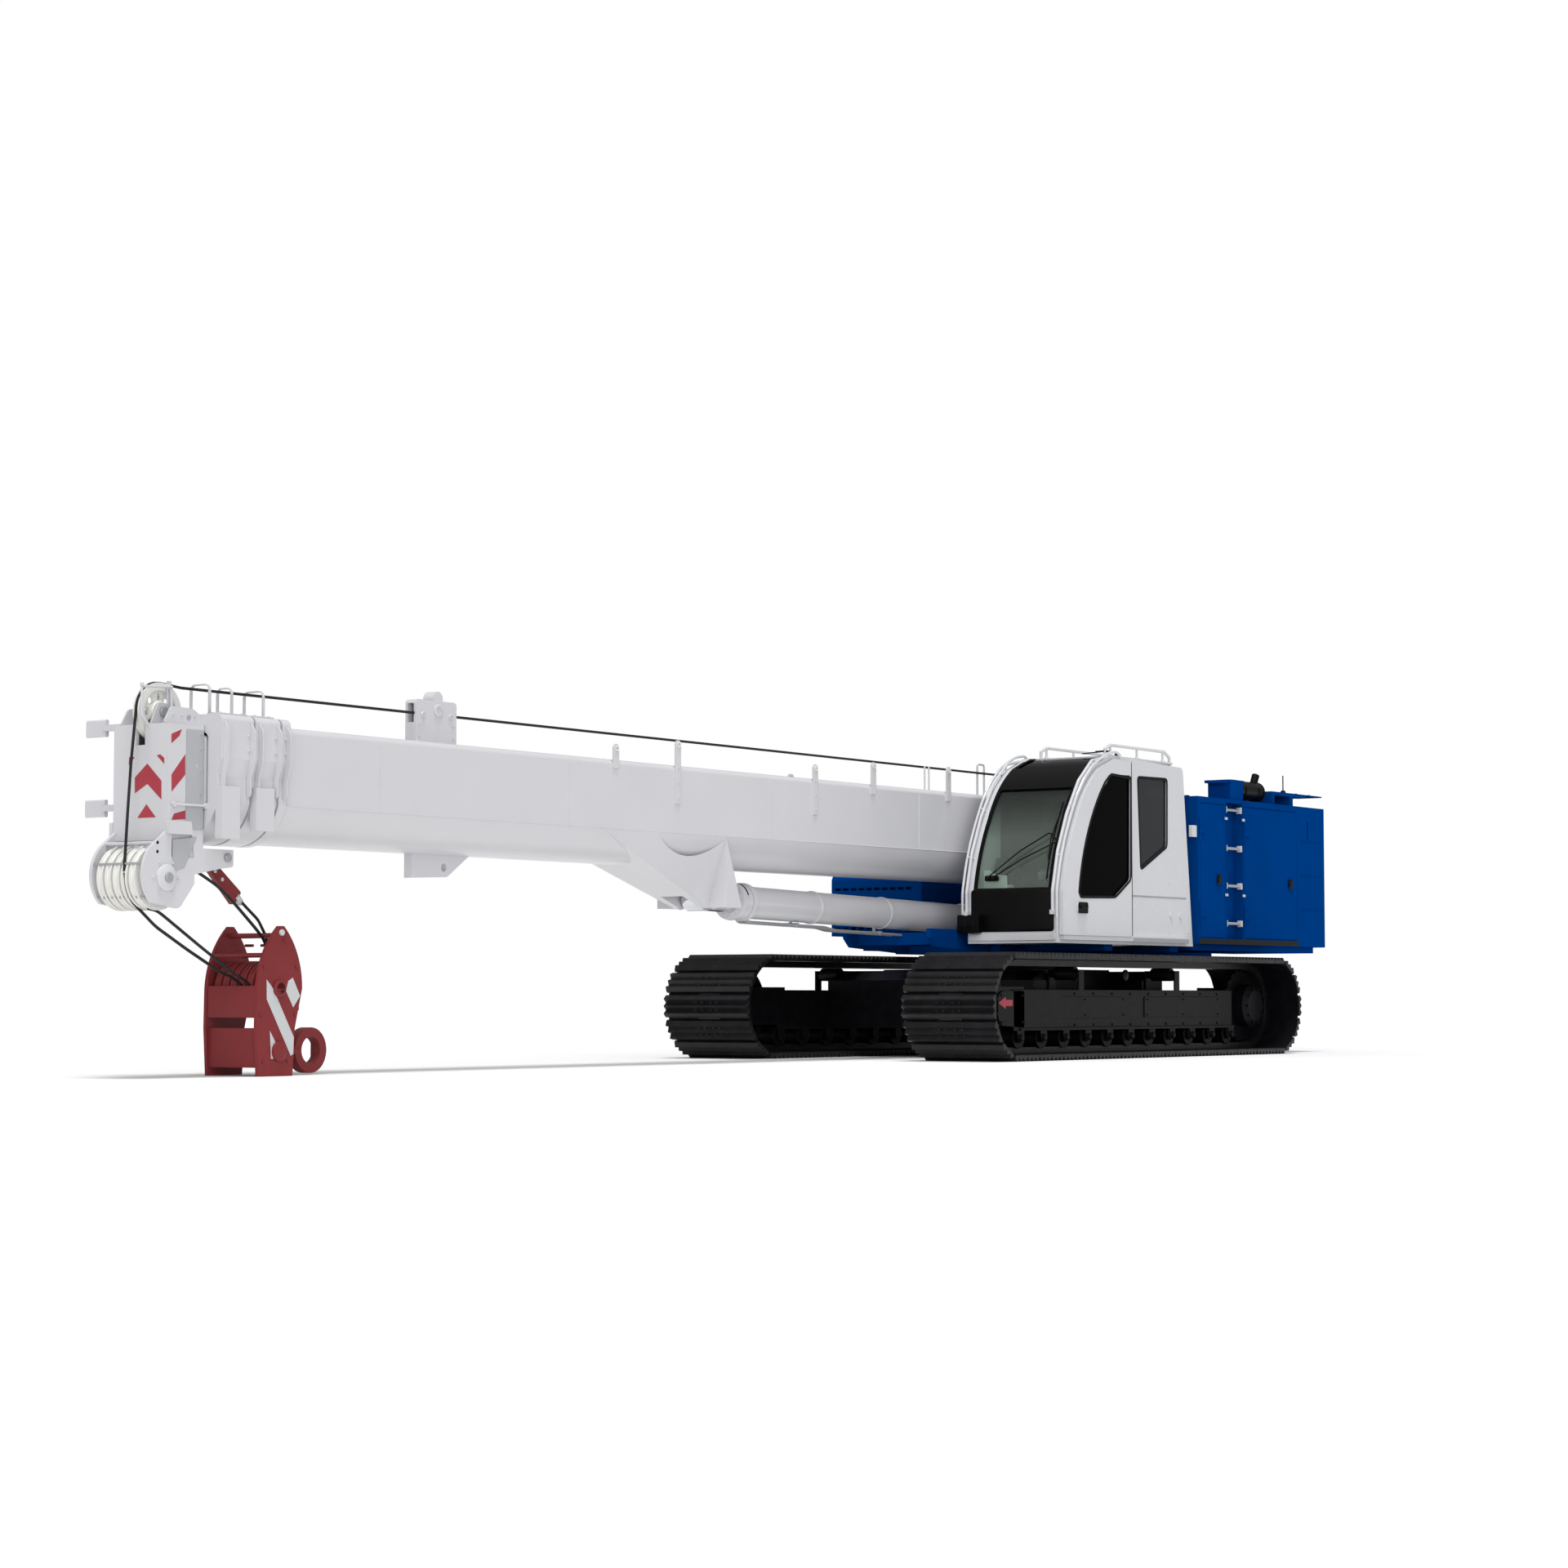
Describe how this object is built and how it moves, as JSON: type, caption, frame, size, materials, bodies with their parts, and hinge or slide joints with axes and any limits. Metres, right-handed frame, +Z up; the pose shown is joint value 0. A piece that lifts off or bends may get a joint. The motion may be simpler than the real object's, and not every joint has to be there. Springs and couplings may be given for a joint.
{
  "type": "telescopic crawler crane",
  "caption": "Crane on crawler tracks: slewing deck with cab and winch, luffing telescopic boom with a lift cylinder, rope sheaves at its head and a hook block resting on the ground.",
  "frame": {"origin": "on the ground, on the slewing axis at the middle of the tracks", "axes": "+X forward along the boom, +Y to the cab side, +Z up"},
  "size_m": [15.405, 3.43, 2.854],
  "materials": {
    "track_steel": "satin, worn on the ribs",
    "frame_black": "semi-matt black paint",
    "body_blue": "gloss deep blue paint",
    "counterweight_blue": "gloss deep blue paint",
    "engine_iron": "matt",
    "grey_steel": "satin grey paint",
    "drum_steel": "semi-matt black paint",
    "cab_white": "gloss white paint",
    "cab_glass": "green-tinted, polished",
    "seat_cloth": "dark cloth",
    "boom_white": "gloss white paint",
    "bright_rod": "hard chrome",
    "sheave_nylon": "cast nylon, satin",
    "hook_red": "satin dark red paint",
    "wire_rope": "greased strand"
  },
  "bodies": {
    "undercarriage": {"track_left": "track_steel", "track_right": "track_steel", "idler_left": "frame_black", "idler_right": "frame_black", "sprocket_left": "frame_black", "sprocket_right": "frame_black", "track_frame_left": "frame_black", "track_frame_right": "frame_black", "rollers_left": "frame_black", "rollers_right": "frame_black", "car_body": "frame_black", "slew_ring": "frame_black"},
    "superstructure": {"swing_frame": "body_blue", "boom_mounts": "body_blue", "muffler": "frame_black", "counterweight": "counterweight_blue", "housing_left": "body_blue", "housing_right": "body_blue", "side_box": "body_blue", "ladder": "grey_steel", "engine_block": "engine_iron", "winch_plates": "body_blue", "cab_shell": "cab_white", "cab_glass": "cab_glass", "operator_seat": "seat_cloth"},
    "winch": {"winch_drum": "drum_steel"},
    "cab_door": {"cab_door": "cab_white", "door_glass": "cab_glass"},
    "front_door_left": {"front_door_left": "body_blue"},
    "rear_door_left": {"rear_door_left": "body_blue"},
    "front_door_right": {"front_door_right": "body_blue"},
    "rear_door_right": {"rear_door_right": "body_blue"},
    "boom_base": {"boom_base": "boom_white"},
    "boom_two": {"boom_section_two": "boom_white"},
    "boom_three": {"boom_section_three": "boom_white"},
    "boom_tip": {"boom_tip": "boom_white"},
    "top_sheave": {"top_sheave": "sheave_nylon"},
    "head_sheaves": {"head_sheaves": "sheave_nylon"},
    "lift_barrel": {"lift_barrel": "boom_white"},
    "lift_rod": {"lift_rod": "bright_rod"},
    "rope_socket": {"rope_socket": "hook_red"},
    "hoist_line": {"fall_ropes": "wire_rope"},
    "block_sheaves": {"block_sheaves": "hook_red"},
    "hook_block": {"hook_block": "hook_red"},
    "ring_hook": {"ring_hook": "hook_red"}
  },
  "joints": [
    {"name": "slew", "type": "hinge", "parent": "undercarriage", "child": "superstructure", "pos_m": [0, 0, 0.905], "axis": [0, 0, 1], "continuous": true},
    {"name": "winch_turn", "type": "hinge", "parent": "superstructure", "child": "winch", "pos_m": [-2.6, 0, 1.9], "axis": [0, 1, 0], "continuous": true},
    {"name": "cab_door_slide", "type": "slide", "parent": "superstructure", "child": "cab_door", "axis": [-1, 0, 0], "range_m": [0, 0.72]},
    {"name": "boom_luff", "type": "hinge", "parent": "superstructure", "child": "boom_base", "pos_m": [-1.3, 0, 2], "axis": [0, -1, 0], "range_deg": [0, 80]},
    {"name": "boom_two_slide", "type": "slide", "parent": "boom_base", "child": "boom_two", "axis": [1, 0, 0], "range_m": [0, 9]},
    {"name": "boom_three_slide", "type": "slide", "parent": "boom_two", "child": "boom_three", "axis": [1, 0, 0], "range_m": [0, 9]},
    {"name": "boom_tip_slide", "type": "slide", "parent": "boom_three", "child": "boom_tip", "axis": [1, 0, 0], "range_m": [0, 9]},
    {"name": "top_sheave_turn", "type": "hinge", "parent": "boom_tip", "child": "top_sheave", "pos_m": [10.89, 0, 2.45], "axis": [0, 1, 0], "continuous": true},
    {"name": "head_sheaves_turn", "type": "hinge", "parent": "boom_tip", "child": "head_sheaves", "pos_m": [11.04, 0, 1.33], "axis": [0, 1, 0], "continuous": true},
    {"name": "lift_barrel_turn", "type": "hinge", "parent": "superstructure", "child": "lift_barrel", "pos_m": [0.2, 0, 1.25], "axis": [0, -1, 0], "range_deg": [0, 88]},
    {"name": "lift_rod_slide", "type": "slide", "parent": "lift_barrel", "child": "lift_rod", "axis": [0.9998, 0, 0.022], "range_m": [0, 2.1]},
    {"name": "rope_socket_turn", "type": "hinge", "parent": "boom_tip", "child": "rope_socket", "pos_m": [10.47, 0, 1.48], "axis": [0, -1, 0], "range_deg": [-26, 0]},
    {"name": "hoist_line_turn", "type": "hinge", "parent": "boom_tip", "child": "hoist_line", "pos_m": [11.04, 0, 1.33], "axis": [0, -1, 0], "range_deg": [-26, 0]},
    {"name": "hoist", "type": "slide", "parent": "hoist_line", "child": "block_sheaves", "axis": [0.8309, 0, 0.5565], "range_m": [-12, 0.2], "deforming": ["fall_ropes"]},
    {"name": "hook_block_turn", "type": "hinge", "parent": "block_sheaves", "child": "hook_block", "pos_m": [9.95, 0, 0.6], "axis": [0, -1, 0], "range_deg": [-58, 0]},
    {"name": "ring_hook_turn", "type": "hinge", "parent": "hook_block", "child": "ring_hook", "pos_m": [9.95, 0, 0.17], "axis": [0, -1, 0], "range_deg": [0, 90]},
    {"name": "front_door_left_swing", "type": "hinge", "parent": "superstructure", "child": "front_door_left", "pos_m": [-1.208, 1.508, 1.7], "axis": [0, 0, -1], "range_deg": [0, 110]},
    {"name": "rear_door_left_swing", "type": "hinge", "parent": "superstructure", "child": "rear_door_left", "pos_m": [-2.128, 1.508, 1.7], "axis": [0, 0, -1], "range_deg": [0, 110]},
    {"name": "front_door_right_swing", "type": "hinge", "parent": "superstructure", "child": "front_door_right", "pos_m": [-1.208, -1.508, 1.7], "axis": [0, 0, 1], "range_deg": [0, 110]},
    {"name": "rear_door_right_swing", "type": "hinge", "parent": "superstructure", "child": "rear_door_right", "pos_m": [-2.128, -1.508, 1.7], "axis": [0, 0, 1], "range_deg": [0, 110]}
  ],
  "couplings": [
    {"joint": "boom_three_slide", "follows": "boom_two_slide", "ratio": 1},
    {"joint": "boom_tip_slide", "follows": "boom_two_slide", "ratio": 1},
    {"joint": "lift_barrel_turn", "follows": "boom_luff", "ratio": 1.0886},
    {"joint": "lift_rod_slide", "follows": "boom_luff", "m_per_rad": 1.466},
    {"joint": "rope_socket_turn", "follows": "boom_luff", "ratio": -0.29764},
    {"joint": "hoist_line_turn", "follows": "boom_luff", "ratio": -0.29764},
    {"joint": "hook_block_turn", "follows": "boom_luff", "ratio": -0.70236},
    {"joint": "ring_hook_turn", "follows": "boom_luff", "ratio": 1.125}
  ]
}
